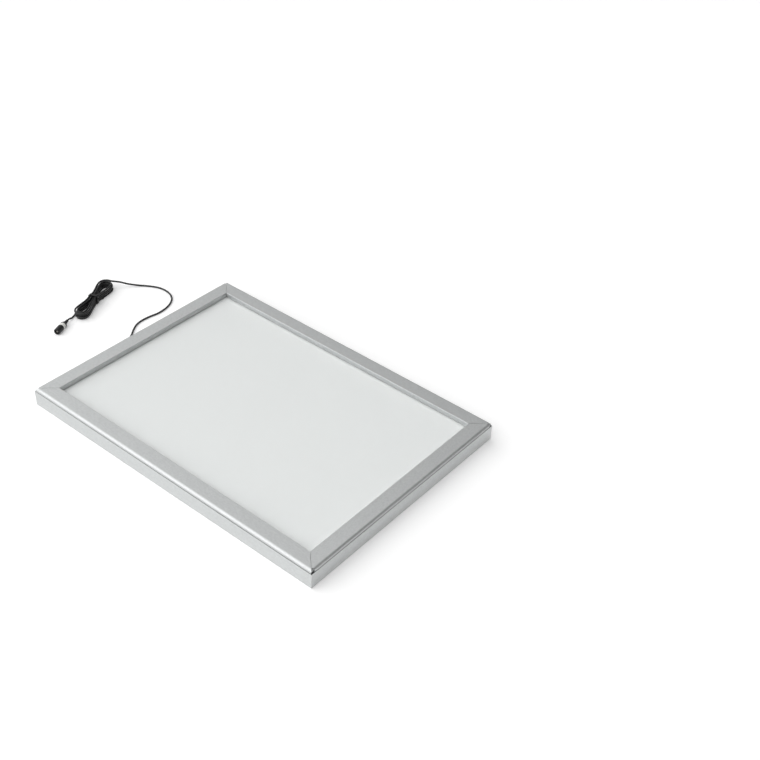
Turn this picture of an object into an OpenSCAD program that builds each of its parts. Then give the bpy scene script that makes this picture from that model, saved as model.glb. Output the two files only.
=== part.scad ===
// Edge-lit tracing light box in a snap frame: four sprung flaps turn on the frame's outer top edges and
// hold a sheet over a light guide. Millimetres, +Z up, origin at the middle of the underside.
// The long sides lie along X. The lead leaves the middle of the left side.

/* [Sheet and window] */
// Length of the sheet that the frame holds
sheet_l = 420; // [400:1:600]
// Width of that sheet
sheet_w = 297; // [280:1:420]
// How far a flap laps over the sheet's edge
sheet_lap = 8; // [6:0.5:9.5]

/* [Frame] */
// Width of the frame's face, seen from above
face_w = 21; // [20:0.5:28]
// Height of the box
frame_h = 25; // [24:0.5:36]
// Outer wall of a base rail
wall_t = 1.4; // [1.2:0.1:1.8]
// Floor flange of a base rail
floor_t = 1.4; // [1.3:0.1:2]
// Shelf that holds the light guide down
shelf_t = 1.4; // [1.2:0.1:2]
// How far the floor flange reaches under the back plate
floor_lap = 3; // [2:0.5:6]
// Rounding of the rails' lower outer edge
foot_round = 0.8; // [0.4:0.1:1]
// Flat on the outer wall's top edge, under the roll
edge_flat = 0.3; // [0.2:0.1:0.5]

/* [Snap hinge] */
// Radius of the bead on the base rail
bead_r = 2; // [1.8:0.1:2.2]
// Running gap between bead and hook
bead_gap = 0.15; // [0.1:0.05:0.2]
// Wall of the hook round the bead
hook_t = 1.3; // [1.1:0.1:1.5]
// Gap between the turning roll and the base rail
roll_gap = 0.3; // [0.25:0.05:0.4]
// How far the roll is set in behind the outer wall
roll_set = 0.5; // [0.3:0.05:0.5]
// Neck that carries the bead
neck_t = 1; // [0.9:0.1:1.2]
// Plate of a flap
plate_t = 1.6; // [1.5:0.1:1.8]
// Inner lip of a flap
lip_t = 1.6; // [1.2:0.1:2]
// Rounding of a flap's inner top edge
lip_round = 0.6; // [0.3:0.1:0.9]
// Gap between a flap's lip and the cover sheet
lip_gap = 0.25; // [0.2:0.05:0.4]
// Gap left at each end of a flap's mitre
mitre_gap = 0.25; // [0.2:0.05:0.4]
// Height of the rib that stops the springs
rib_h = 0.9; // [0.6:0.1:1.2]
// Thickness of that rib
rib_t = 0.5; // [0.4:0.1:0.6]

/* [Springs] */
// Spring steel thickness
spring_t = 0.5; // [0.4:0.1:0.6]
// Width of a spring
spring_w = 14; // [10:1:20]
// Height of a folded spring
spring_h = 3.1; // [2.8:0.1:3.4]
// Radius of a spring's rolled nose
nose_r = 0.4; // [0.3:0.05:0.45]
// Distance of the end springs from a corner
spring_inset = 70; // [60:1:90]
// Springs on a long side
long_springs = 3; // [2:1:5]
// Springs on a short side
short_springs = 2; // [2:1:4]

/* [Stack] */
// Back plate
back_t = 1; // [0.8:0.1:1.5]
// Reflector sheet
reflector_t = 0.5; // [0.3:0.1:0.8]
// Light guide
guide_t = 5; // [4:0.5:6]
// Clear cover sheet
cover_t = 1.2; // [0.8:0.1:1.5]
// Gap between the sheet's edge and the rail
sheet_gap = 0.6; // [0.4:0.1:1]
// Gap between the diffuser's edge and the shelf
diffuser_gap = 0.3; // [0.2:0.1:0.6]
// Gap between a piece and the seat that locates it
seat_gap = 0.05; // [0.03:0.01:0.1]

/* [Lighting] */
// Thickness of a strip's board
strip_t = 1; // [0.8:0.1:1.2]
// Height of a strip's board
strip_h = 10; // [9:0.5:10.5]
// Distance of a strip's end from the corner
strip_inset = 16; // [14:1:30]
// Length of a light emitter
chip_l = 3; // [2:0.5:4]
// Height of a light emitter
chip_h = 1.6; // [1:0.1:2.5]
// Thickness of a light emitter
chip_t = 0.8; // [0.6:0.1:1]
// Spacing of the emitters
chip_pitch = 16; // [10:1:25]
// Gap between the emitters and the guide's edge
chip_gap = 0.4; // [0.2:0.1:0.8]
// Gap between a strip's board and the shelf above it
strip_gap = 0.3; // [0.2:0.1:0.6]
// Radius of a harness wire
wire_r = 0.8; // [0.6:0.1:1]
// Gap between the two harness wires
wire_gap = 0.2; // [0.1:0.1:0.4]

/* [Corners and hanging] */
// Gap between a corner key and the back plate's edge
key_room = 1.7; // [1:0.1:3]
// Length of a corner key's leg
key_leg = 40; // [38:1:48]
// Thickness of a corner key
key_t = 2; // [1.5:0.1:2.5]
// Gap between a corner key and the outer wall
key_gap = 0.3; // [0.2:0.1:0.6]
// Radius of a corner screw
screw_r = 1.25; // [1:0.05:1.5]
// Radius of its countersunk head
screw_head_r = 2.3; // [2:0.1:2.6]
// Height of its countersunk head
screw_head_h = 1.1; // [0.9:0.1:1.2]
// Distance of the first screw of a leg from the outer corner
screw_near = 18; // [16:1:22]
// Distance of the second screw from the outer corner
screw_far = 32; // [28:1:34]
// Spacing of the two hanging keyholes
keyhole_pitch = 300; // [200:5:300]
// Radius of a keyhole's entry
keyhole_r = 4; // [3.5:0.1:4.2]
// Half width of a keyhole's slot
keyhole_slot_r = 2.2; // [1.8:0.1:2.3]
// Metal left between a keyhole's slot and the outer wall
keyhole_rim = 0.5; // [0.3:0.1:1]
// Gap between a keyhole's entry and the back plate's edge
keyhole_gap = 0.1; // [0.1:0.05:0.3]

/* [Lead] */
// Diameter of the lead
cord_d = 2.4; // [2.2:0.1:2.6]
// Height of the lead's outlet over the lower edge of the light strips
outlet_rise = 1.5; // [1:0.1:2]
// Radius of the gland's neck in the wall
gland_r = 2.8; // [2.5:0.1:3]
// Radius of the gland's flanges
gland_flange_r = 3.8; // [3.6:0.1:4.2]
// Thickness of the gland's flanges
gland_flange_t = 1.2; // [1:0.1:1.5]
// Length of the gland's sleeve outside the wall
gland_sleeve = 9; // [7:0.5:11]
// Wall left round the lead in the sleeve's ring grooves
groove_wall = 0.3; // [0.2:0.05:0.4]
// Half length of the hank
hank_half = 43; // [41:1:48]
// How far the hank's loops swell towards the ends
hank_swell = 17; // [15:0.5:18]
// Clear space between neighbouring strands
strand_gap = 0.5; // [0.45:0.05:0.8]
// Width of the tie
tie_w = 3.5; // [3:0.5:5]
// Thickness of the tie
tie_t = 0.8; // [0.6:0.1:1]
// Gap between the tie and the strands
tie_gap = 0.3; // [0.2:0.05:0.4]
// Length of the tie's twisted ends
twist_l = 9; // [6:0.5:12]

/* [Connector] */
// Radius of the barrel
barrel_r = 4.4; // [4:0.1:5]
// Length of the barrel
barrel_l = 12; // [11:0.5:16]
// Rounding of the barrel's rims
barrel_round = 0.8; // [0.4:0.1:1]
// Radius of the socket in the barrel
socket_r = 2.9; // [2.8:0.05:3.2]
// Depth of the socket
socket_depth = 10; // [8:0.5:10.5]
// Radius of the centre pin
pin_r = 1; // [0.8:0.05:1.2]
// How far the pin's tip stays inside the mouth
pin_inset = 1; // [0.5:0.1:2]
// Radius of the pale ring
ring_r = 4; // [3.7:0.1:4.2]
// Length of the pale ring
ring_l = 5; // [3:0.5:6]
// Length of the boot
boot_l = 11; // [9:0.5:14]
// Length of the collar at the boot's wide end
boot_collar = 1.2; // [0.8:0.1:2]
// Wall of the boot at its small end
boot_wall = 0.7; // [0.5:0.1:1]

/* [Hidden] */
$fn = 64;

// Colours of the pieces
silver_c = [0.79, 0.8, 0.8];
steel_c = [0.6, 0.61, 0.62];
white_c = [0.93, 0.94, 0.94];
board_c = [0.86, 0.86, 0.84];
clear_c = [0.85, 0.9, 0.92, 0.45];
strip_c = [0.95, 0.95, 0.92];
chip_c = [0.95, 0.88, 0.55];
black_c = [0.08, 0.08, 0.09];
brass_c = [0.75, 0.62, 0.32];

// Outside of the frame: the window grows by one face width on each side
outer_l = sheet_l - 2 * sheet_lap + 2 * face_w;
outer_w = sheet_w - 2 * sheet_lap + 2 * face_w;

// Sides in turn: the turn about Z, the distance from the middle and the length
right_turn = 90;
back_turn = 180;
left_turn = 270;
FRONT = [0, outer_w / 2, outer_l];
RIGHT = [right_turn, outer_l / 2, outer_w];
BACK = [back_turn, outer_w / 2, outer_l];
LEFT = [left_turn, outer_l / 2, outer_w];

// Hinge line, as a distance in from the outer face and a height
roll_r = bead_r + bead_gap + hook_t;
axis_u = roll_set + roll_r;
axis_z = frame_h - roll_r;

// Hollow of the outer wall round the roll, and the wall's height where the hollow leaves the flat
hollow_r = roll_r + roll_gap;
wall_top = axis_z - sqrt(max(0, pow(hollow_r, 2) - pow(axis_u - edge_flat, 2)));

// Heights of the stack, from the hinge down and from the floor up
shelf_top = axis_z - hollow_r;
guide_top = shelf_top - shelf_t;
guide_z = guide_top - guide_t;
reflector_z = guide_z - reflector_t;
core_z = floor_t + back_t;
cover_top = shelf_top + cover_t;
lip_drop = frame_h - cover_top - lip_gap;

// Distances in from the outer face
sheet_u = face_w - sheet_lap;
shelf_reach = sheet_u - sheet_gap;
floor_reach = shelf_reach + floor_lap;
diffuser_u = shelf_reach + diffuser_gap;
guide_u = wall_t + strip_t + chip_t + chip_gap;
strip_top = guide_top - strip_gap;

// Hook and neck, as angles about the hinge line: 0 points inwards, 90 up. The hook's two ends stay clear of
// the neck, its toe with the flap shut and its outer end with the flap open.
neck_turn = -48;
open_turn = 100;
neck_room = asin((neck_t / 2 + roll_gap) / (bead_r + bead_gap));
hook_toe = neck_turn + neck_room;
hook_end = 360 + neck_turn - neck_room - open_turn;
neck_l = (axis_z - shelf_top + shelf_t / 2) / cos(90 + neck_turn);

// Ends of the rolls: a long side's roll ends on the mitre, clear of the next outer wall. A short side's roll
// stops where the long one turns, and the hooks' toes stop further in.
roll_span = axis_u + mitre_gap - roll_gap;
long_trim = wall_t + roll_gap;
short_trim = axis_u + roll_r * cos(hook_end + open_turn) + roll_gap;
toe_spare = 0.4;
toe_trim = axis_u + roll_r + toe_spare;

// Spare length by which a cutting body passes the piece that it cuts
over = 1;

// Corner keys and keyholes
key_u = wall_t + key_gap;
key_w = shelf_reach - key_u - key_room;
keyhole_u = shelf_reach - keyhole_r - keyhole_gap;
keyhole_run = keyhole_u - wall_t - keyhole_rim - keyhole_slot_r;

// Gland and the start of the lead, from the left face
cord_z = strip_top - strip_h + outlet_rise;
gland_l = gland_flange_t + gland_sleeve;
gland_in = wall_t + gland_flange_t;
wire_u = shelf_reach / 2;
wire_pair = wire_r + wire_gap / 2;
wire_bend = 4 * wire_r;

// Rings to a turn of the hank, steps between the lead's points, and sides of their tubes
loop_rings = 24;
loop_sides = 6;
route_steps = 2;
cord_sides = 8;

// Hank: its place from the foot of the left face, its turn, and how many turns make it and each layer
hank_x = -117;
hank_y = 27;
hank_turn = -68;
hank_turns = 6;
layer_turns = 1.5;
layers = hank_turns / layer_turns;

// Neighbouring strands: their step along the sides, at the waist and in the swell
cord_r = cord_d / 2;
waist_spare = 0.1;
side_step = cord_d + strand_gap;
waist_step = side_step + waist_spare;
waist_half = (layer_turns + 1 / layers) * waist_step;
swell_step = 3.6;

// Height of the lowest strands, and how far and how near the waist they rise over the tie
floor_gap = 0.1;
bed_z = cord_r + floor_gap;
waist_lift = tie_t + tie_gap;
waist_reach = 0.3;

// Turns at which the tail joins the first loop, and by which the last loop runs on to the free lead
join_turn = -0.13;
leave_turn = 0.25;

// Connector: its place past the hank's end and beside its middle
plug_away = 12;
plug_p = hank_half + plug_away;
plug_q = -10.4;
plug_z = barrel_r + floor_gap;
boot_r = cord_r + boot_wall;

// Tie's twisted ends: their turn, their lean from the upright and their place up the band
twist_turn = 540;
twist_slices = 24;
twist_lean = 75;
twist_rise = 0.7;

// Lead between the gland and the hank, as points from the foot of the left face
CORD_ROUTE = [[-20, 5, 3], [-25, 12, 1.5], [-31, 20, 1.3], [-37, 31, 1.3], [-39, 43, 1.3], [-38, 56, 1.3],
    [-36, 69, 1.3], [-37, 82, 1.3], [-41, 94, 1.3], [-48, 104, 1.3], [-58, 110, 1.3], [-70, 112, 1.3],
    [-82, 110, 1.3], [-95, 103, 1.3], [-106, 94, 2], [-115, 84, 5], [-122, 77, 8]];

// Tube that follows a list of points, as one body of triangles
function unit(v) = v / norm(v);
function heading(path, i) = unit(path[min(i + 1, len(path) - 1)] - path[max(i - 1, 0)]);
function ring_at(c, d, r, n) =
    let (side = unit(cross(d, [0, 0, 1])), up = cross(side, d))
    [for (k = [0 : n - 1]) c + r * (cos(360 * k / n) * side + sin(360 * k / n) * up)];

module tube(path, r, n) {
    last = (len(path) - 1) * n;
    points = [for (i = [0 : len(path) - 1]) each ring_at(path[i], heading(path, i), r, n)];
    skin = [for (i = [0 : len(path) - 2], k = [0 : n - 1])
        let (a = i * n + k, b = i * n + (k + 1) % n)
        each [[a, b, a + n], [b, b + n, a + n]]];
    first_cap = [for (k = [1 : n - 2]) [0, k + 1, k]];
    last_cap = [for (k = [1 : n - 2]) [last, last + k, last + k + 1]];
    polyhedron(points, concat(skin, first_cap, last_cap), convexity = 8);
}

// Smooth curve through points, with the given number of steps between neighbours
function curve_at(p, i, s) =
    let (a = p[max(i - 1, 0)], b = p[i], c = p[i + 1], d = p[min(i + 2, len(p) - 1)])
    0.5 * (2 * b + (c - a) * s + (2 * a - 5 * b + 4 * c - d) * s * s + (3 * b - a - 3 * c + d) * s * s * s);
function curve(p, steps) = concat(
    [for (i = [0 : len(p) - 2], k = [0 : steps - 1]) curve_at(p, i, k / steps)], [p[len(p) - 1]]);

// Eased step from 0 to 1
function settle(s) = s * s * (3 - 2 * s);

// Point of the hank after t turns: it starts at the waist, runs to the far end and comes back on the right.
// The track moves in and out by one step a turn, and a layer is climbed in the half turn where it reverses.
function track(t) =
    let (s = t - 2 * layer_turns * floor(t / (2 * layer_turns)))
    t < 0 ? t : t > hank_turns ? hank_turns - t : s < layer_turns ? s : 2 * layer_turns - s;
function climbed(t) =
    let (k = max(0, min(round(t / layer_turns), layers - 1)))
    k == 0 ? 0 : k - 1 + settle(max(0, min(1, 2 * (t - k * layer_turns) + 0.5)));
function hank_point(t) =
    let (u = track(t), s = sin(360 * t), c = cos(360 * t))
    [-(hank_half - side_step * u) * s,
        -c * (waist_half - waist_step * u + (hank_swell - swell_step * u) * s * s),
        bed_z + side_step * climbed(t) + waist_lift * pow(max(0, 1 - pow(s / waist_reach, 2)), 2)];

function hank_loops(per_turn) =
    [for (k = [ceil(join_turn * per_turn) : (hank_turns + leave_turn) * per_turn]) hank_point(k / per_turn)];
hank_join = hank_point(join_turn);
hank_tip = hank_point(hank_turns + leave_turn);
hank_leave = hank_tip + [0, cord_d, 0];
tail_start = [plug_p, plug_q, plug_z];
tail_steps = 7;
tail_drop = 0.48;

// The tail runs straight out of the connector, then settles onto the bed and joins the first loop
function tail_point(s) =
    let (from = tail_start - [cord_d, 0, 0])
    [from.x + (hank_join.x - from.x) * s, from.y + (hank_join.y - from.y) * s,
        from.z + (hank_join.z - from.z) * settle(min(1, s / tail_drop))];
function hank_path(per_turn) = concat([tail_start],
    [for (k = [0 : tail_steps - 1]) tail_point(k / tail_steps)], hank_loops(per_turn), [hank_leave]);

// Least gap between strands, on points more than a third of a turn apart
function hank_gap(per_turn) =
    let (p = hank_path(per_turn), skip = ceil(per_turn / 3))
    min([for (i = [0 : len(p) - 1 - skip], j = [i + skip : len(p) - 1]) norm(p[i] - p[j])]) - cord_d;

// Hank's own frame carried to the frame of the left face
function hank_to_face(p) = [hank_x + p.x * cos(hank_turn) - p.y * sin(hank_turn),
    hank_y + p.x * sin(hank_turn) + p.y * cos(hank_turn), p.z];

module at_left_face() {
    translate([-outer_l / 2, 0, 0]) children();
}

module at_hank() {
    at_left_face() translate([hank_x, hank_y, 0]) rotate(hank_turn) children();
}

module on_side(side) {
    rotate(side[0]) translate([0, -side[1], 0]) children();
}

// Profile in (distance in, height) drawn along a side of length l
module along(l) {
    rotate([90, 0, 90]) linear_extrude(height = l, center = true) children();
}

// Body between the two mitre planes of a side
module mitred(l) {
    half = l / 2;
    reach = face_w + over;
    translate([0, 0, -over]) linear_extrude(height = frame_h + 2 * over)
        polygon([[-half - over, -over], [half + over, -over], [half - reach, reach], [reach - half, reach]]);
}

// Body over a flap's plan: mitred, with its roll cut square a distance trim from each corner. It never passes the
// mitre, so that its convex hull stays clear of the next flap as well.
module flap_plan(l, trim) {
    half = l / 2 - mitre_gap;
    end = l / 2 - trim;
    reach = face_w + over;
    tip = trim - mitre_gap;
    right_end = tip > roll_span ? [[end, roll_span], [half - roll_span, roll_span]] : [[end, tip]];
    left_end = tip > roll_span ? [[roll_span - half, roll_span], [-end, roll_span]] : [[-end, tip]];
    translate([0, 0, -over]) linear_extrude(height = frame_h + 2 * over)
        polygon(concat([[-end, -over], [end, -over]], right_end,
            [[half - reach, reach], [reach - half, reach]], left_end));
}

// What a rounding of radius r takes off a square corner at the origin
module corner_cut(r) {
    difference() {
        translate([-over, -over]) square(r + over);
        translate([r, r]) circle(r);
        translate([r, -2 * over]) square(r + 2 * over);
        translate([-2 * over, r]) square(r + 2 * over);
    }
}

module sector(from, to) {
    reach = 4 * roll_r;
    steps = 4;
    turn = (to - from) / steps;
    polygon(concat([[0, 0]], [for (k = [0 : steps]) reach * [cos(from + k * turn), sin(from + k * turn)]]));
}

module rail_profile() {
    difference() {
        square([wall_t, wall_top]);
        translate([axis_u, axis_z]) circle(hollow_r);
        corner_cut(foot_round);
    }
    difference() {
        square([floor_reach, floor_t]);
        corner_cut(foot_round);
    }
    translate([wall_t / 2, guide_top]) square([shelf_reach - wall_t / 2, shelf_t]);
    translate([shelf_reach - rib_t, guide_top]) square([rib_t, shelf_t + rib_h]);
    translate([axis_u, axis_z]) {
        rotate(neck_turn) translate([0, -neck_t / 2]) square([neck_l, neck_t]);
        circle(bead_r);
    }
}

// Countersunk holes for the corner screws at both ends of a side
module screw_holes(l) {
    for (end = [-1, 1], at = [screw_near, screw_far])
        translate([end * (l / 2 - at), key_u + key_w / 2, 0]) screw_body(seat_gap, over);
}

module screw_body(gap, below) {
    translate([0, 0, -below]) cylinder(r = screw_head_r + gap, h = below + gap);
    translate([0, 0, gap]) cylinder(r1 = screw_head_r + gap, r2 = screw_r + gap, h = screw_head_h);
    cylinder(r = screw_r + gap, h = floor_t + key_t + below);
}

module keyhole() {
    translate([0, keyhole_u, -over]) cylinder(r = keyhole_r, h = floor_t + 2 * over);
    translate([0, keyhole_u - keyhole_run, -over]) cylinder(r = keyhole_slot_r, h = floor_t + 2 * over);
    translate([-keyhole_slot_r, keyhole_u - keyhole_run, -over])
        cube([2 * keyhole_slot_r, keyhole_run, floor_t + 2 * over]);
}

module base_rail(side) {
    color(silver_c) on_side(side) difference() {
        intersection() {
            along(side[2] + 2 * over) rail_profile();
            mitred(side[2]);
        }
        screw_holes(side[2]);
        children();
    }
}

module base_rail_front() {
    base_rail(FRONT);
}

module base_rail_right() {
    base_rail(RIGHT);
}

module base_rail_back() {
    base_rail(BACK) {
        for (end = [-1, 1])
            translate([end * keyhole_pitch / 2, 0, 0]) keyhole();
    }
}

module base_rail_left() {
    base_rail(LEFT)
        translate([0, wall_t + over, cord_z]) rotate([90, 0, 0])
            cylinder(r = gland_r + seat_gap, h = wall_t + 2 * over);
}

module flap_profile() {
    difference() {
        union() {
            translate([axis_u, axis_z]) difference() {
                circle(roll_r);
                sector(hook_end, 360 + hook_toe);
            }
            translate([axis_u, frame_h - plate_t]) square([face_w - axis_u, plate_t]);
            translate([face_w - lip_t, frame_h - lip_drop]) square([lip_t, lip_drop]);
        }
        translate([axis_u, axis_z]) circle(bead_r + bead_gap);
        translate([face_w, frame_h]) rotate(180) corner_cut(lip_round);
    }
}

// Cuts that take the hook's toe away at both ends of a side
module toe_cuts(l) {
    for (end = [0, 1]) mirror([end, 0, 0])
        translate([l / 2 - toe_trim, axis_u, axis_z - 2 * roll_r])
            cube([toe_trim + over, toe_trim - axis_u, 3 * roll_r - plate_t]);
}

module flap(side, trim) {
    color(silver_c) on_side(side) difference() {
        intersection() {
            along(side[2] + 2 * over) flap_profile();
            flap_plan(side[2], trim);
        }
        toe_cuts(side[2]);
    }
}

module flap_front() {
    flap(FRONT, long_trim);
}

module flap_right() {
    flap(RIGHT, short_trim);
}

module flap_back() {
    flap(BACK, long_trim);
}

module flap_left() {
    flap(LEFT, short_trim);
}

// Folded leaf: a foot on the shelf, a round fold at the rib and an arm with a round nose by the hook
module spring_profile() {
    bend = spring_h / 2;
    fold_u = shelf_reach - rib_t - seat_gap - bend;
    nose_u = axis_u + hollow_r + nose_r;
    translate([nose_u, shelf_top]) square([fold_u - nose_u, spring_t]);
    translate([nose_u, shelf_top + spring_h - spring_t]) square([fold_u - nose_u, spring_t]);
    translate([nose_u, shelf_top + spring_h - spring_t / 2]) circle(nose_r);
    translate([fold_u, shelf_top + bend]) difference() {
        circle(bend);
        circle(bend - spring_t);
        translate([-2 * spring_h, -spring_h]) square(2 * spring_h);
    }
}

module springs(side, count) {
    run = side[2] - 2 * spring_inset;
    color(steel_c) on_side(side) for (k = [0 : count - 1])
        translate([run * (k / (count - 1) - 0.5), 0, 0]) along(spring_w) spring_profile();
}

module springs_front() {
    springs(FRONT, long_springs);
}

module springs_right() {
    springs(RIGHT, short_springs);
}

module springs_back() {
    springs(BACK, long_springs);
}

module springs_left() {
    springs(LEFT, short_springs);
}

module at_corners() {
    for (x = [0, 1], y = [0, 1])
        mirror([x, 0, 0]) mirror([0, y, 0]) translate([outer_l / 2, -outer_w / 2, 0]) children();
}

// Places of the four screws of one corner, from its outer corner
module at_screws() {
    mid = key_u + key_w / 2;
    for (at = [screw_near, screw_far]) {
        translate([-at, mid, 0]) children();
        translate([-mid, at, 0]) children();
    }
}

module corner_keys() {
    color(steel_c) at_corners() difference() {
        translate([0, 0, floor_t]) linear_extrude(height = key_t) {
            translate([-key_u - key_leg, key_u]) square([key_leg, key_w]);
            translate([-key_u - key_w, key_u]) square([key_w, key_leg]);
        }
        at_screws() cylinder(r = screw_r + seat_gap, h = floor_t + key_t + over);
    }
}

module corner_screws() {
    color(steel_c) at_corners() at_screws() {
        cylinder(r1 = screw_head_r, r2 = screw_r, h = screw_head_h);
        cylinder(r = screw_r, h = floor_t + key_t);
    }
}

// Flat sheet whose edges lie a distance in from the outer faces
module sheet(inset, z, t) {
    translate([inset - outer_l / 2, inset - outer_w / 2, z])
        cube([outer_l - 2 * inset, outer_w - 2 * inset, t]);
}

module back_plate() {
    color(silver_c) sheet(shelf_reach, floor_t, back_t);
}

module core_board() {
    color(board_c) sheet(shelf_reach, core_z, reflector_z - core_z);
}

module reflector_sheet() {
    color(white_c) sheet(guide_u, reflector_z, reflector_t);
}

module light_guide() {
    color(clear_c) sheet(guide_u, guide_z, guide_t);
}

module diffuser_sheet() {
    color(white_c) sheet(diffuser_u, guide_top, shelf_t);
}

module cover_sheet() {
    color(clear_c) sheet(sheet_u, shelf_top, cover_t);
}

module led_strip(side) {
    l = side[2] - 2 * strip_inset;
    color(strip_c) on_side(side)
        translate([-l / 2, wall_t, strip_top - strip_h]) cube([l, strip_t, strip_h]);
}

module led_strip_front() {
    led_strip(FRONT);
}

module led_strip_back() {
    led_strip(BACK);
}

module led_chips(side) {
    count = floor((side[2] - 2 * strip_inset - chip_l) / chip_pitch);
    color(chip_c) on_side(side) for (k = [0 : count])
        translate([(k - count / 2) * chip_pitch - chip_l / 2, wall_t + strip_t,
            guide_z + (guide_t - chip_h) / 2]) cube([chip_l, chip_t, chip_h]);
}

module led_chips_front() {
    led_chips(FRONT);
}

module led_chips_back() {
    led_chips(BACK);
}

// One wire from the gland along the left rail, round the corner and onto the strip's board
module harness_wire() {
    strip_u = wall_t + strip_t + wire_r + seat_gap;
    turn_y = outer_w / 2 - strip_u;
    run_u = wire_u + wire_bend / 2;
    end_u = strip_inset + key_leg;
    route = [[gland_in, wire_pair, cord_z], [gland_in + wire_bend / 2, wire_pair, cord_z],
        [run_u, wire_pair + wire_bend, cord_z], [run_u, turn_y / 2, cord_z],
        [run_u, turn_y - wire_bend, cord_z], [run_u + wire_bend, turn_y, cord_z],
        [end_u / 2, turn_y, cord_z], [end_u, turn_y, cord_z]];
    tube(route, wire_r, cord_sides);
}

module wire_harness() {
    color(black_c) at_left_face() {
        harness_wire();
        mirror([0, 1, 0]) harness_wire();
    }
}

// Moulded strain relief: a flange on each face of the wall and a sleeve with ring grooves
module cable_gland() {
    root = gland_in + gland_flange_t;
    bands = 6;
    groove = gland_sleeve / bands;
    color(black_c) at_left_face() translate([gland_in, 0, cord_z]) rotate([0, -90, 0]) difference() {
        union() {
            cylinder(r = gland_flange_r, h = gland_flange_t);
            cylinder(r = gland_r, h = root);
            translate([0, 0, gland_in]) cylinder(r = gland_flange_r, h = gland_flange_t);
            translate([0, 0, root]) cylinder(r1 = gland_r, r2 = boot_r, h = gland_sleeve);
        }
        for (k = [1 : 2 : bands - 3]) translate([0, 0, root + k * groove]) difference() {
            cylinder(r = gland_r + over, h = groove);
            translate([0, 0, -over]) cylinder(r = cord_r + groove_wall, h = groove + 2 * over);
        }
    }
}

// Free lead: square out of the gland, down to the table and up to the hank's top layer
module cord() {
    mouth = [-gland_l, 0, cord_z];
    tip = hank_to_face(hank_leave);
    before = hank_to_face(hank_leave + [0, cord_d, 0]);
    route = concat([mouth - [cord_d, 0, 0]], CORD_ROUTE, [before]);
    color(black_c) at_left_face() tube(concat([mouth], curve(route, route_steps), [tip]), cord_r, cord_sides);
}

module cord_hank() {
    echo(hank_least_gap_mm = hank_gap(2 * loop_rings));
    color(black_c) at_hank() tube(hank_path(loop_rings), cord_r, loop_sides);
}

// Twist tie: a band round the waist with its two ends twisted together at the side
module hank_tie() {
    band_r = cord_r + tie_gap;
    left = -waist_half;
    right = waist_half - waist_step / 2;
    low = bed_z + waist_lift;
    high = low + side_step * (layers - 1);
    twist_h = low + (high - low) * twist_rise;
    color(black_c) at_hank() {
        rotate([90, 0, 90]) linear_extrude(height = tie_w, center = true) difference() {
            round_box(left, right, low, high, band_r + tie_t);
            round_box(left, right, low, high, band_r);
        }
        translate([0, right + band_r + tie_t / 2, twist_h]) rotate([-twist_lean, 0, 0])
            linear_extrude(height = twist_l, twist = twist_turn, slices = twist_slices, segments = 4)
                square([tie_w - tie_t, tie_t], center = true);
    }
}

// Outline at distance r round a rectangle
module round_box(left, right, low, high, r) {
    for (x = [left, right], y = [low, high]) translate([x, y]) circle(r);
    translate([left - r, low]) square([right - left + 2 * r, high - low]);
    translate([left, low - r]) square([right - left, high - low + 2 * r]);
}

// Connector pieces follow each other along the hank's length
module at_plug(along_p) {
    at_hank() translate([plug_p + along_p, plug_q, plug_z]) rotate([0, 90, 0]) children();
}

// Boot: a trumpet whose hollow flank is one arc, square to the lead at its small end
module plug_boot() {
    flare_l = boot_l - boot_collar;
    widen = barrel_r - boot_r;
    flank_r = (flare_l * flare_l + widen * widen) / (2 * widen);
    color(black_c) at_plug(0) rotate_extrude() difference() {
        square([barrel_r, boot_l]);
        translate([boot_r + flank_r, 0]) circle(flank_r);
    }
}

module plug_ring() {
    color(white_c) at_plug(boot_l) cylinder(r = ring_r, h = ring_l);
}

module plug_barrel() {
    color(black_c) at_plug(boot_l + ring_l) difference() {
        rotate_extrude() difference() {
            square([barrel_r, barrel_l]);
            translate([barrel_r, barrel_l]) rotate(180) corner_cut(barrel_round);
            translate([barrel_r, 0]) rotate(90) corner_cut(barrel_round);
        }
        translate([0, 0, barrel_l - socket_depth]) cylinder(r = socket_r, h = socket_depth + over);
    }
}

module plug_pin() {
    color(brass_c) at_plug(boot_l + ring_l + barrel_l - socket_depth)
        cylinder(r = pin_r, h = socket_depth - pin_inset);
}

base_rail_front();
base_rail_right();
base_rail_back();
base_rail_left();
flap_front();
flap_right();
flap_back();
flap_left();
springs_front();
springs_right();
springs_back();
springs_left();
corner_keys();
corner_screws();
back_plate();
core_board();
reflector_sheet();
light_guide();
diffuser_sheet();
cover_sheet();
led_strip_front();
led_strip_back();
led_chips_front();
led_chips_back();
wire_harness();
cable_gland();
cord();
cord_hank();
hank_tie();
plug_boot();
plug_ring();
plug_barrel();
plug_pin();
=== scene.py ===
"""Looks of an edge-lit tracing light box in a silver snap frame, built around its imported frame.

Metres, +Z up, origin at the middle of the underside. The long sides lie along X, and the lead leaves the
middle of the left side, at -X. Sizes in the classes are in millimetres, as in the drawing of the part.
"""

import logging
import math
from dataclasses import dataclass, replace
from enum import Enum
from typing import Any

import bpy
from mathutils import Matrix, Vector


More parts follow.
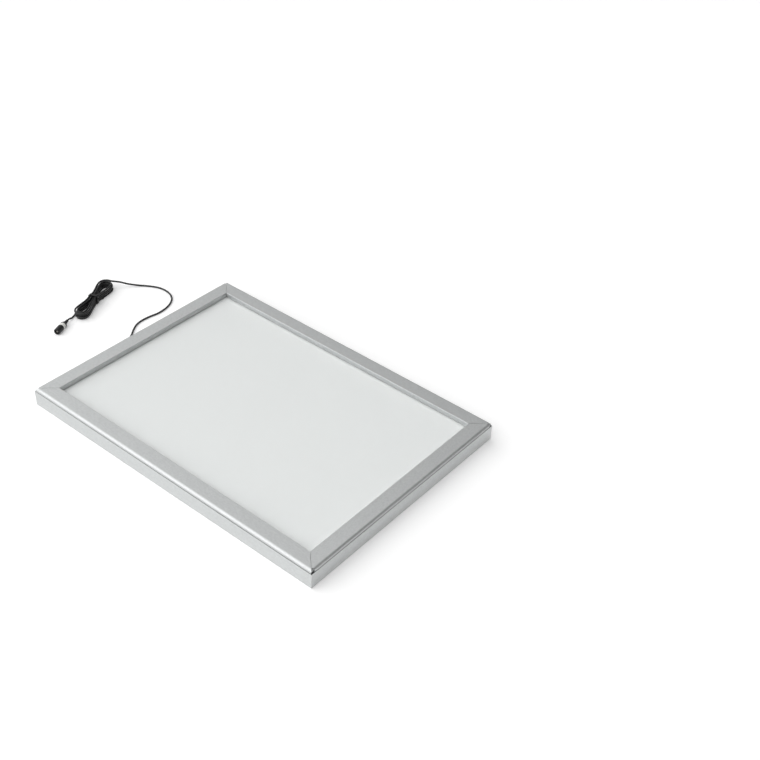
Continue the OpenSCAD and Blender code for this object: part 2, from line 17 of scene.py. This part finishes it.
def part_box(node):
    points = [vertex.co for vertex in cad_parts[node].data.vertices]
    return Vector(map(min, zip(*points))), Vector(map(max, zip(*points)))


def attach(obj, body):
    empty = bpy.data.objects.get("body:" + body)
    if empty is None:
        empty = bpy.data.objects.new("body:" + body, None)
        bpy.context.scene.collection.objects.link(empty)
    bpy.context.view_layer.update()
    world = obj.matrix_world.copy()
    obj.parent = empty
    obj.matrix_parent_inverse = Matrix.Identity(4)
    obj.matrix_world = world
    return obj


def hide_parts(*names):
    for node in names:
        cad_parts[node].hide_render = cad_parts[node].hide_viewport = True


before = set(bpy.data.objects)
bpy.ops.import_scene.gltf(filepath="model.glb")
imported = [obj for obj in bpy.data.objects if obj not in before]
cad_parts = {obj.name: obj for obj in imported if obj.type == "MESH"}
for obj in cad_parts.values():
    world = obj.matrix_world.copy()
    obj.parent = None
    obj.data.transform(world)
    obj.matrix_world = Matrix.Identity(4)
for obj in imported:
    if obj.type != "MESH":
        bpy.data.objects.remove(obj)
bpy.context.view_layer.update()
MM = 0.001
BODY = "box"
WHITE = (1.0, 1.0, 1.0, 1.0)
# Octaves of the grain's noise, and segments of an eased edge
GRAIN_DETAIL = 3.0
EASE_STEPS = 2
# Least cosine between directions that count as one, and most degrees between faces shaded as one
SAME_WAY = 0.9
SMOOTH_TURN = 30.0
log = logging.getLogger("light_box")


class Along(Enum):
    """Direction in which a piece was drawn or rolled, as the scale of a pattern stretched along it."""

    X = (0.35, 1.0, 1.0)
    Y = (1.0, 0.35, 1.0)
    ROLLED = (0.02, 1.0, 1.0)
    NONE = (1.0, 1.0, 1.0)


def linear(colour: str) -> tuple[float, float, float, float]:
    """Turns an sRGB hex colour into linear light.

    Args:
        colour: Six hex digits with a leading #.

    Returns:
        Red, green, blue and alpha, each from 0 to 1.
    """
    parts = [int(colour[i : i + 2], 16) / 255 for i in (1, 3, 5)]
    light = [c / 12.92 if c <= 0.04045 else ((c + 0.055) / 1.055) ** 2.4 for c in parts]
    return (light[0], light[1], light[2], 1.0)


def add_node(
    tree: bpy.types.NodeTree,
    kind: str,
    inputs: dict[str | int, Any] | None = None,
    **settings: Any,
) -> bpy.types.Node:
    """Adds one node with its settings, and fills or links its sockets.

    Args:
        tree: Node tree that gets the node.
        kind: Blender's name of the node type.
        inputs: Value, or another node's output socket, for each input by name or number.
        **settings: Properties of the node.

    Returns:
        The new node.
    """
    made = tree.nodes.new(kind)
    for name, value in settings.items():
        setattr(made, name, value)
    for key, value in (inputs or {}).items():
        if isinstance(value, bpy.types.NodeSocket):
            tree.links.new(value, made.inputs[key])
        else:
            made.inputs[key].default_value = value
    return made


@dataclass(frozen=True)
class Finish:
    """A material as the real one is: its colour, its gloss and the fine pattern on its surface."""

    name: str
    light: str
    dark: str
    roughness: float
    spread: float = 0.06
    metallic: float = 0.0
    grain_mm: float = 0.8
    relief_mm: float = 0.01
    along: Along = Along.NONE
    alpha: float = 1.0
    ior: float = 1.5
    specular: float = 0.5

    def material(self) -> bpy.types.Material:
        """Builds the material once.

        Returns:
            The material, with its pattern on object coordinates.
        """
        found = bpy.data.materials.get(self.name)
        if found:
            return found
        made = bpy.data.materials.new(self.name)
        made.use_nodes = True
        tree = made.node_tree
        shader = tree.nodes["Principled BSDF"]
        shader.inputs["Metallic"].default_value = self.metallic
        shader.inputs["IOR"].default_value = self.ior
        shader.inputs["Specular IOR Level"].default_value = self.specular
        shader.inputs["Alpha"].default_value = self.alpha
        place = add_node(tree, "ShaderNodeTexCoord").outputs["Object"]
        turned = add_node(
            tree, "ShaderNodeMapping", {"Vector": place, "Scale": self.along.value}
        ).outputs["Vector"]
        self.surface(tree, shader, turned)
        return made

    def surface(
        self,
        tree: bpy.types.NodeTree,
        shader: bpy.types.Node,
        turned: bpy.types.NodeSocket,
    ) -> None:
        """Draws the grain: it shifts the colour and gloss a little and gives the surface relief.

        Args:
            tree: Node tree of the material.
            shader: Its Principled shader.
            turned: Object coordinates, drawn out along the piece.
        """
        grain = add_node(
            tree,
            "ShaderNodeTexNoise",
            {"Vector": turned, "Scale": 1 / (self.grain_mm * MM), "Detail": GRAIN_DETAIL},
        ).outputs["Fac"]
        colour = add_node(
            tree,
            "ShaderNodeMix",
            {0: grain, 6: linear(self.dark), 7: linear(self.light)},
            data_type="RGBA",
        ).outputs[2]
        gloss = add_node(
            tree,
            "ShaderNodeMapRange",
            {
                "Value": grain,
                "To Min": self.roughness - self.spread,
                "To Max": self.roughness + self.spread,
            },
        ).outputs["Result"]
        relief = add_node(
            tree,
            "ShaderNodeBump",
            {"Height": grain, "Strength": 1.0, "Distance": self.relief_mm * MM},
        ).outputs["Normal"]
        tree.links.new(colour, shader.inputs["Base Color"])
        tree.links.new(gloss, shader.inputs["Roughness"])
        tree.links.new(relief, shader.inputs["Normal"])


# Aluminium extrusion, etched and anodised silver: a satin grey with a short grit along the draw. The real
# grit is about 0.1 mm and is drawn coarser, so that it shows.
ANODISED_X = Finish(
    "anodised_aluminium_x", "#dadcdc", "#b9bbbb",
    roughness=0.52, spread=0.05, metallic=1.0, grain_mm=1.1, relief_mm=0.004, along=Along.X,
)
ANODISED_Y = replace(ANODISED_X, name="anodised_aluminium_y", along=Along.Y)
# Mill-finish aluminium sheet: brighter and streaked along the rolling direction.
MILL_SHEET = Finish(
    "mill_finish_aluminium", "#c4c6c8", "#a9abad",
    roughness=0.36, spread=0.1, metallic=1.0, grain_mm=2.0, relief_mm=0.004, along=Along.ROLLED,
)
# Tempered spring steel: dark, smooth and slightly blue.
SPRING_STEEL = Finish(
    "spring_steel", "#a4a8ad", "#8a8e94",
    roughness=0.28, spread=0.06, metallic=1.0, grain_mm=0.9, relief_mm=0.003,
)
# Zinc-plated steel: pale grey with cloudy patches.
ZINC_STEEL = Finish(
    "zinc_plated_steel", "#b9bcc0", "#969a9f",
    roughness=0.34, spread=0.1, metallic=1.0, grain_mm=3.0, relief_mm=0.004,
)
# Opal acrylic: an even white that light soaks into, with a matt skin.
OPAL_SHEET = Finish(
    "opal_acrylic", "#f4f4f3", "#f1f2f1",
    roughness=0.5, spread=0.03, grain_mm=6.0, relief_mm=0.002,
)
# Clear polyester sheet with an anti-glare skin: hardly seen over the opal sheet.
CLEAR_SHEET = Finish(
    "clear_polyester_sheet", "#f2f5f5", "#eef2f2",
    roughness=0.3, spread=0.04, grain_mm=2.5, relief_mm=0.002, alpha=0.22,
)
# Cast acrylic plate: clear and polished, seen only as a pale solid inside the frame.
CLEAR_ACRYLIC = Finish(
    "cast_acrylic", "#e9f0ef", "#e2ecea",
    roughness=0.12, spread=0.02, grain_mm=5.0, relief_mm=0.001,
)
# Foamed PVC board: matt off-white with a fine pitted skin.
FOAM_BOARD = Finish(
    "foamed_pvc_board", "#dedddb", "#d0cfca",
    roughness=0.8, spread=0.05, grain_mm=0.8, relief_mm=0.03,
)
# White polyester reflector film: smooth, bright and half matt.
REFLECTOR_FILM = Finish(
    "white_polyester_film", "#f2f2f0", "#ebebe8",
    roughness=0.35, spread=0.05, grain_mm=4.0, relief_mm=0.002,
)
# White solder mask on a strip's board.
SOLDER_MASK = Finish(
    "white_solder_mask", "#efefe9", "#e2e2da",
    roughness=0.4, spread=0.08, grain_mm=0.7, relief_mm=0.006,
)
# Phosphor resin of a white emitter: waxy yellow.
PHOSPHOR = Finish(
    "phosphor_resin", "#ecd98a", "#dfc56a",
    roughness=0.35, spread=0.05, grain_mm=0.5, relief_mm=0.004,
)
# Soft PVC sleeve: black with a low sheen and a faint ripple from the die.
PVC_SLEEVE = Finish(
    "soft_pvc_sleeve", "#131415", "#0b0c0d",
    roughness=0.46, spread=0.08, grain_mm=1.2, relief_mm=0.03,
)
# ABS moulding: black with a fine spark-eroded skin.
ABS_BLACK = Finish(
    "moulded_abs_black", "#131415", "#0b0c0d",
    roughness=0.5, spread=0.06, grain_mm=0.5, relief_mm=0.02,
)
# Acetal ring: plain white and slightly waxy.
ACETAL_WHITE = Finish(
    "acetal_white", "#eeeeea", "#e2e2dd",
    roughness=0.38, spread=0.05, grain_mm=0.9, relief_mm=0.004,
)
# Nickel plating on a turned pin: dull and grey, with fine rings from the tool.
NICKEL = Finish(
    "nickel_plated_brass", "#a5a29b", "#8b8982",
    roughness=0.34, spread=0.06, metallic=1.0, grain_mm=0.6, relief_mm=0.003,
)


def dress(node: str, finish: Finish) -> None:
    """Gives a CAD node its finish.

    Args:
        node: Name of the node.
        finish: Material that it gets.
    """
    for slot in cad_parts[node].material_slots:
        slot.material = finish.material()
    log.info("%s dressed in %s", node, finish.name)


@dataclass
class SnapFrame:
    """Base rails, hinged flaps, springs and corner keys of the frame."""

    long_sides: tuple[str, ...] = ("front", "back")
    short_sides: tuple[str, ...] = ("right", "left")

    def dress(self) -> None:
        """Gives every piece of the frame its metal."""
        for side in self.long_sides:
            dress(f"base_rail_{side}", ANODISED_X)
            dress(f"flap_{side}", ANODISED_X)
        for side in self.short_sides:
            dress(f"base_rail_{side}", ANODISED_Y)
            dress(f"flap_{side}", ANODISED_Y)
        for side in self.long_sides + self.short_sides:
            dress(f"springs_{side}", SPRING_STEEL)
        dress("corner_keys", ZINC_STEEL)


@dataclass
class CornerScrews:
    """Countersunk screws through the rails' floor into the corner keys, four at each corner."""

    half_l: float = 223.0
    half_w: float = 161.5
    from_wall: float = 6.2
    from_corner: tuple[float, float] = (18.0, 32.0)
    head_r: float = 2.3
    head_h: float = 1.1
    shank_r: float = 1.25
    length: float = 3.4
    tip: float = 0.3
    edge: float = 0.12
    sides: int = 32
    slot_w: float = 0.55
    slot_l: float = 1.25
    slot_depth: float = 0.65
    turn_step: float = 37.0

    def build(self) -> list[bpy.types.Object]:
        """Models one screw and copies it to its sixteen places.

        Returns:
            The screws, which stand for the CAD ones.
        """
        pattern = self.screw()
        self.cut_recess(pattern)
        made = []
        for k, place in enumerate(self.places()):
            piece = pattern.copy()
            piece.data = pattern.data.copy()
            piece.name = f"corner_screw_{k + 1:02d}"
            bpy.context.scene.collection.objects.link(piece)
            bpy.ops.object.select_all(action="DESELECT")
            piece.select_set(True)
            bpy.context.view_layer.objects.active = piece
            piece.location = place
            piece.rotation_euler.z = math.radians(self.turn_step * k)
            bpy.ops.object.transform_apply(location=True, rotation=True, scale=True)
            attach(piece, BODY)
            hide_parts("corner_screws")
            made.append(piece)
        bpy.data.objects.remove(pattern)
        log.info("%d corner screws modelled", len(made))
        return made

    def places(self) -> list[Vector]:
        """Lists the places of the screws, corner by corner.

        Returns:
            Middles of the heads, in metres.
        """
        pairs = [(at, self.from_wall) for at in self.from_corner]
        pairs += [(self.from_wall, at) for at in self.from_corner]
        return [
            Vector((x * (self.half_l - a), y * (self.half_w - b), 0)) * MM
            for x in (-1, 1)
            for y in (-1, 1)
            for a, b in pairs
        ]

    def screw(self) -> bpy.types.Object:
        """Turns the body of a screw: a flat head, its cone, the shank and a blunt tip.

        Returns:
            The screw, with its head on the floor at the origin.
        """
        bpy.ops.object.select_all(action="DESELECT")
        bpy.ops.mesh.primitive_cylinder_add(
            vertices=self.sides,
            radius=self.head_r * MM,
            depth=self.head_h * MM,
            location=(0, 0, self.head_h / 2 * MM),
        )
        screw = bpy.context.object
        bpy.ops.object.transform_apply(location=True, rotation=True, scale=True)
        self.pick_top(screw)
        narrow = self.shank_r / self.head_r
        bpy.ops.transform.resize(value=(narrow, narrow, 1))
        shank = self.length - self.head_h - self.tip
        blunt = (self.shank_r - self.tip) / self.shank_r
        for rise, scale in ((shank, 1.0), (self.tip, blunt)):
            bpy.ops.mesh.extrude_region_move(TRANSFORM_OT_translate={"value": (0, 0, rise * MM)})
            bpy.ops.transform.resize(value=(scale, scale, 1))
        bpy.ops.object.mode_set(mode="OBJECT")
        for edge in screw.data.edges:
            edge.select = all(abs(screw.data.vertices[v].co.z) < self.edge * MM for v in edge.vertices)
        bpy.ops.object.mode_set(mode="EDIT")
        bpy.ops.mesh.bevel(offset=self.edge * MM, segments=EASE_STEPS, affect="EDGES")
        bpy.ops.object.mode_set(mode="OBJECT")
        screw.data.materials.append(ZINC_STEEL.material())
        return screw

    @staticmethod
    def pick_top(piece: bpy.types.Object) -> None:
        """Enters edit mode with only the highest flat face selected.

        Args:
            piece: Piece to edit.
        """
        bpy.ops.object.mode_set(mode="EDIT")
        bpy.ops.mesh.select_mode(type="FACE")
        bpy.ops.mesh.select_all(action="DESELECT")
        bpy.ops.object.mode_set(mode="OBJECT")
        max(piece.data.polygons, key=lambda face: face.center.z).select = True
        bpy.ops.object.mode_set(mode="EDIT")

    def cut_recess(self, screw: bpy.types.Object) -> None:
        """Cuts the cross recess into the head.

        Args:
            screw: The screw that gets it.
        """
        bpy.ops.object.select_all(action="DESELECT")
        bpy.ops.mesh.primitive_cube_add(size=self.slot_w * MM)
        cross = bpy.context.object
        cross.scale.z = 2 * self.slot_depth / self.slot_w
        bpy.ops.object.transform_apply(location=True, rotation=True, scale=True)
        arm = (self.slot_l - self.slot_w / 2) * MM
        for way in ((1, 0, 0), (-1, 0, 0), (0, 1, 0), (0, -1, 0)):
            bpy.ops.object.mode_set(mode="EDIT")
            bpy.ops.mesh.select_all(action="DESELECT")
            bpy.ops.object.mode_set(mode="OBJECT")
            for face in cross.data.polygons:
                face.select = face.normal.dot(Vector(way)) > SAME_WAY
            bpy.ops.object.mode_set(mode="EDIT")
            bpy.ops.mesh.extrude_region_move(TRANSFORM_OT_translate={"value": Vector(way) * arm})
            bpy.ops.object.mode_set(mode="OBJECT")
        bpy.ops.object.select_all(action="DESELECT")
        screw.select_set(True)
        bpy.context.view_layer.objects.active = screw
        cut = screw.modifiers.new("recess", "BOOLEAN")
        cut.operation = "DIFFERENCE"
        cut.object = cross
        bpy.ops.object.modifier_apply(modifier=cut.name)
        bpy.data.objects.remove(cross)
        bpy.ops.object.shade_smooth_by_angle(angle=math.radians(SMOOTH_TURN))


@dataclass
class LightStack:
    """Sheets between the floor flanges and the flaps, and the light strips at the guide's edges."""

    lift_mm: float = 0.05
    edge_mm: float = 0.15

    def dress(self) -> None:
        """Gives the sheets and strips their finishes and makes the clear cover."""
        dress("back_plate", MILL_SHEET)
        dress("core_board", FOAM_BOARD)
        dress("reflector_sheet", REFLECTOR_FILM)
        dress("light_guide", CLEAR_ACRYLIC)
        dress("diffuser_sheet", OPAL_SHEET)
        for side in ("front", "back"):
            dress(f"led_strip_{side}", SOLDER_MASK)
            dress(f"led_chips_{side}", PHOSPHOR)
        dress("wire_harness", PVC_SLEEVE)
        self.cover()

    def cover(self) -> bpy.types.Object:
        """Models the clear cover sheet with its cut edges eased.

        Returns:
            The sheet, which stands for the CAD cover.
        """
        low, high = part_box("cover_sheet")
        low.z += self.lift_mm * MM
        bpy.ops.object.select_all(action="DESELECT")
        bpy.ops.mesh.primitive_cube_add(size=1.0, location=(low + high) / 2)
        sheet = bpy.context.object
        sheet.name = "clear_cover"
        sheet.scale = high - low
        bpy.ops.object.transform_apply(location=True, rotation=True, scale=True)
        bpy.ops.object.mode_set(mode="EDIT")
        bpy.ops.mesh.select_all(action="SELECT")
        bpy.ops.mesh.bevel(offset=self.edge_mm * MM, segments=EASE_STEPS, affect="EDGES")
        bpy.ops.object.mode_set(mode="OBJECT")
        sheet.data.materials.append(CLEAR_SHEET.material())
        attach(sheet, BODY)
        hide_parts("cover_sheet")
        log.info("%s modelled", sheet.name)
        return sheet


@dataclass
class Lead:
    """Thin lead: out of the gland, along the table and wound into the tied hank with its connector."""

    diameter: float = 2.4
    face_x: float = -223.0
    mouth: tuple[float, float, float] = (-10.2, 0.0, 7.6)
    hank_at: tuple[float, float] = (-117.0, 27.0)
    hank_turn: float = -68.0
    half: float = 43.0
    swell: float = 17.0
    swell_step: float = 3.6
    side_step: float = 2.9
    waist_step: float = 3.0
    turns: int = 6
    layer_turns: float = 1.5
    bed: float = 1.3
    lift: float = 1.1
    reach: float = 0.3
    join: float = -0.13
    leave: float = 0.25
    plug: tuple[float, float, float] = (55.0, -10.4, 4.5)
    tail_drop: float = 0.48
    tail_steps: int = 14
    rings: int = 72
    steps: int = 8
    round_steps: int = 4

    ROUTE = (
        (-20, 5, 3), (-25, 12, 1.5), (-31, 20, 1.3), (-37, 31, 1.3), (-39, 43, 1.3), (-38, 56, 1.3),
        (-36, 69, 1.3), (-37, 82, 1.3), (-41, 94, 1.3), (-48, 104, 1.3), (-58, 110, 1.3), (-70, 112, 1.3),
        (-82, 110, 1.3), (-95, 103, 1.3), (-106, 94, 2), (-115, 84, 5), (-122, 77, 8),
    )  # fmt: skip

    def track(self, t: float) -> float:
        """Counts the steps in from the outermost loop.

        Args:
            t: Turns from the waist.

        Returns:
            Steps, which grow and shrink from layer to layer.
        """
        period = 2 * self.layer_turns
        s = t - period * math.floor(t / period)
        if t < 0:
            return t
        if t > self.turns:
            return self.turns - t
        return s if s < self.layer_turns else period - s

    @staticmethod
    def ease(s: float) -> float:
        """Eases a step.

        Args:
            s: How far along, held between 0 and 1.

        Returns:
            The eased value, from 0 to 1.
        """
        s = max(0.0, min(1.0, s))
        return s * s * (3 - 2 * s)

    def climbed(self, t: float) -> float:
        """Counts the layers climbed.

        Args:
            t: Turns from the waist.

        Returns:
            Layers above the first.
        """
        layers = self.turns / self.layer_turns
        k = max(0, min(math.floor(t / self.layer_turns + 0.5), layers - 1))
        return k - 1 + self.ease(2 * (t - k * self.layer_turns) + 0.5) if k else 0.0

    def hank_point(self, t: float) -> Vector:
        """Point of the hank after t turns, in its own frame.

        Args:
            t: Turns from the waist, where the first loop starts.

        Returns:
            Place along the hank, across it and over the table.
        """
        u, s, c = self.track(t), math.sin(2 * math.pi * t), math.cos(2 * math.pi * t)
        waist = (self.layer_turns + self.layer_turns / self.turns) * self.waist_step
        across = waist - self.waist_step * u + (self.swell - self.swell_step * u) * s * s
        rise = self.lift * max(0.0, 1 - (s / self.reach) ** 2) ** 2
        return Vector(
            (
                -(self.half - self.side_step * u) * s,
                -c * across,
                self.bed + self.side_step * self.climbed(t) + rise,
            )
        )

    def tail(self) -> list[Vector]:
        """Points from the connector to the first loop.

        Returns:
            Points in the hank's frame.
        """
        start, end = Vector(self.plug), self.hank_point(self.join)
        first = start - Vector((self.diameter, 0, 0))
        points = [start]
        for k in range(self.tail_steps):
            s = k / self.tail_steps
            point = first.lerp(end, s)
            point.z = first.z + (end.z - first.z) * self.ease(s / self.tail_drop)
            points.append(point)
        return points

    def hank(self) -> list[Vector]:
        """Points of the whole hank, from the connector to where the free lead begins.

        Returns:
            Points in the hank's frame.
        """
        last = self.turns + self.leave
        count = round((last - self.join) * self.rings)
        loops = [
            self.hank_point(self.join + (last - self.join) * k / count) for k in range(count + 1)
        ]
        return self.tail() + loops + [loops[-1] + Vector((0, self.diameter, 0))]

    def to_face(self, p: Vector) -> Vector:
        """Carries a point of the hank to the frame of the left face.

        Args:
            p: Point in the hank's frame.

        Returns:
            The point beside the left face.
        """
        return Matrix.Rotation(math.radians(self.hank_turn), 3, "Z") @ p + Vector((*self.hank_at, 0))

    def free(self, leave: Vector) -> list[Vector]:
        """Smooth points of the free lead.

        Args:
            leave: Point where it meets the hank, in the hank's frame.

        Returns:
            Points in the frame of the left face, from the gland on.
        """
        mouth = Vector(self.mouth)
        before = self.to_face(leave + Vector((0, self.diameter, 0)))
        through = [
            mouth - Vector((self.diameter, 0, 0)),
            *[Vector(p) for p in self.ROUTE],
            before,
        ]
        points = [mouth]
        last = len(through) - 1
        for i in range(last):
            a, b = through[max(i - 1, 0)], through[i]
            c, d = through[i + 1], through[min(i + 2, last)]
            for k in range(self.steps):
                s = k / self.steps
                points.append(
                    0.5
                    * (
                        2 * b
                        + (c - a) * s
                        + (2 * a - 5 * b + 4 * c - d) * s**2
                        + (3 * b - a - 3 * c + d) * s**3
                    )
                )
        return points + [before]

    def build(self) -> bpy.types.Object:
        """Makes the lead as one curve from the gland to the connector.

        Returns:
            The lead, which stands for the CAD cord and hank.
        """
        hank = self.hank()
        path = self.free(hank[-1]) + [self.to_face(p) for p in reversed(hank)]
        points = [(p + Vector((self.face_x, 0, 0))) * MM for p in path]
        curve = bpy.data.curves.new("lead", "CURVE")
        curve.dimensions = "3D"
        curve.bevel_depth = self.diameter / 2 * MM
        curve.bevel_resolution = self.round_steps
        curve.use_fill_caps = True
        spline = curve.splines.new("POLY")
        spline.points.add(len(points) - 1)
        for point, place in zip(spline.points, points):
            point.co = (*place, 1.0)
        spline.use_smooth = True
        lead = bpy.data.objects.new("lead", curve)
        bpy.context.scene.collection.objects.link(lead)
        curve.materials.append(PVC_SLEEVE.material())
        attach(lead, BODY)
        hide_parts("cord", "cord_hank")
        return lead

    def dress(self) -> None:
        """Gives the gland, tie and connector their finishes."""
        dress("cable_gland", PVC_SLEEVE)
        dress("hank_tie", PVC_SLEEVE)
        dress("plug_boot", PVC_SLEEVE)
        dress("plug_ring", ACETAL_WHITE)
        dress("plug_barrel", ABS_BLACK)
        dress("plug_pin", NICKEL)


@dataclass
class Studio:
    """White table under a pale sky, a broad lamp, a soft box and the camera at the photograph's angle."""

    image_px: float = 760.0
    focal_px: float = 1206.0
    sensor_mm: float = 36.0
    azimuth: float = 37.102
    elevation: float = 37.849
    roll: float = -3.563
    distance: float = 1.442
    aside: tuple[float, float] = (-0.14018, 0.0306)
    aim_height: float = 0.025
    horizon: float = 1.0
    zenith: float = 0.21
    sky_slope: tuple[float, float, float] = (0.35, 0.45, 1.0)
    sky_low: float = 0.08
    sky_high: float = 0.45
    floor_size: float = 12.0
    floor_colour: str = "#fafafa"
    floor_roughness: float = 0.9
    floor_glow: float = 0.17
    lamp_level: float = 0.54
    lamp_angle: float = 98.0
    lamp_from: tuple[float, float, float] = (-0.39, -0.25, 0.885)
    fill_watts: float = 2.6
    fill_size: float = 1.6
    fill_from: tuple[float, float, float] = (-0.15, -0.75, 0.55)

    def camera(self) -> bpy.types.Object:
        """Places the camera.

        Returns:
            The camera, made the scene's own.
        """
        a, e, r = (math.radians(x) for x in (self.azimuth, self.elevation, self.roll))
        ahead = Vector((-math.sin(a) * math.cos(e), math.cos(a) * math.cos(e), -math.sin(e)))
        right = ahead.cross(Vector((0, 0, 1))).normalized()
        down = ahead.cross(right)
        across = right * math.cos(r) + down * math.sin(r)
        below = -right * math.sin(r) + down * math.cos(r)
        place = -(across * self.aside[0] + below * self.aside[1] + ahead * self.distance)
        place.z += self.aim_height
        data = bpy.data.cameras.new("camera")
        data.sensor_width = self.sensor_mm
        data.lens = self.focal_px / self.image_px * self.sensor_mm
        camera = bpy.data.objects.new("camera", data)
        turn = Matrix((across, -below, -ahead)).transposed()
        camera.matrix_world = Matrix.Translation(place) @ turn.to_4x4()
        bpy.context.scene.collection.objects.link(camera)
        bpy.context.scene.camera = camera
        return camera

    def world(self) -> None:
        """Sets a sky that is white low in front, dimmer overhead and behind, and plain to the camera."""
        world = bpy.data.worlds.new("studio")
        bpy.context.scene.world = world
        world.use_nodes = True
        tree = world.node_tree
        way = add_node(tree, "ShaderNodeTexCoord").outputs["Generated"]
        height = add_node(
            tree, "ShaderNodeVectorMath", {0: way, 1: self.sky_slope}, operation="DOT_PRODUCT"
        ).outputs["Value"]
        sky = add_node(
            tree,
            "ShaderNodeMapRange",
            {
                "Value": height,
                "From Min": self.sky_low,
                "From Max": self.sky_high,
                "To Min": self.horizon,
                "To Max": self.zenith,
            },
            interpolation_type="SMOOTHSTEP",
        ).outputs["Result"]
        path = add_node(tree, "ShaderNodeLightPath").outputs
        plain = add_node(
            tree,
            "ShaderNodeMath",
            {0: path["Is Camera Ray"], 1: path["Is Transmission Ray"]},
            operation="MAXIMUM",
        ).outputs[0]
        strength = add_node(
            tree, "ShaderNodeMapRange", {"Value": plain, "To Min": sky, "To Max": 1.0}
        ).outputs["Result"]
        tree.links.new(strength, tree.nodes["Background"].inputs["Strength"])
        tree.nodes["Background"].inputs["Color"].default_value = WHITE

    def floor(self) -> bpy.types.Object:
        """Lays a white table that keeps the object's shadow.

        Returns:
            The floor, marked as stage.
        """
        bpy.ops.object.select_all(action="DESELECT")
        bpy.ops.mesh.primitive_plane_add(size=self.floor_size)
        floor = bpy.context.object
        floor.name = "floor"
        made = bpy.data.materials.new("white_table")
        made.use_nodes = True
        tree = made.node_tree
        shader = tree.nodes["Principled BSDF"]
        shader.inputs["Base Color"].default_value = linear(self.floor_colour)
        shader.inputs["Roughness"].default_value = self.floor_roughness
        shader.inputs["Specular IOR Level"].default_value = 0.0
        shader.inputs["Emission Color"].default_value = WHITE
        path = add_node(tree, "ShaderNodeLightPath").outputs
        seen = add_node(
            tree,
            "ShaderNodeMath",
            {0: path["Is Camera Ray"], 1: path["Is Glossy Ray"]},
            operation="MAXIMUM",
        ).outputs[0]
        glow = add_node(
            tree, "ShaderNodeMath", {0: seen, 1: self.floor_glow}, operation="MULTIPLY"
        ).outputs[0]
        tree.links.new(glow, shader.inputs["Emission Strength"])
        floor.data.materials.append(made)
        return floor

    def lamp(self) -> bpy.types.Object:
        """Hangs the broad soft lamp.

        Returns:
            The lamp.
        """
        way = Vector(self.lamp_from).normalized()
        data = bpy.data.lights.new("soft_lamp", "SUN")
        data.energy = self.lamp_level * math.pi / way.z
        data.angle = math.radians(self.lamp_angle)
        lamp = bpy.data.objects.new("soft_lamp", data)
        lamp.rotation_mode = "QUATERNION"
        lamp.rotation_quaternion = way.to_track_quat("Z", "Y")
        lamp.location = way
        bpy.context.scene.collection.objects.link(lamp)
        return lamp

    def fill(self) -> bpy.types.Object:
        """Stands a soft box to the left of the camera, which lifts the near edge.

        Returns:
            The lamp.
        """
        data = bpy.data.lights.new("soft_box", "AREA")
        data.energy = self.fill_watts
        data.size = self.fill_size
        box = bpy.data.objects.new("soft_box", data)
        box.location = self.fill_from
        box.rotation_mode = "QUATERNION"
        box.rotation_quaternion = Vector(self.fill_from).to_track_quat("Z", "Y")
        bpy.context.scene.collection.objects.link(box)
        return box

    def build(self) -> None:
        """Sets up the camera, the table and the light."""
        bpy.context.scene.view_settings.view_transform = "Standard"
        self.camera()
        self.world()
        self.floor()
        self.lamp()
        self.fill()


def main() -> None:
    """Builds the studio and dresses the light box, assembly by assembly."""
    logging.basicConfig(level=logging.INFO, format="%(name)s: %(message)s")
    Studio().build()
    lead = Lead()
    lead.build()
    lead.dress()
    SnapFrame().dress()
    CornerScrews().build()
    LightStack().dress()


if __name__ == "__main__":
    main()
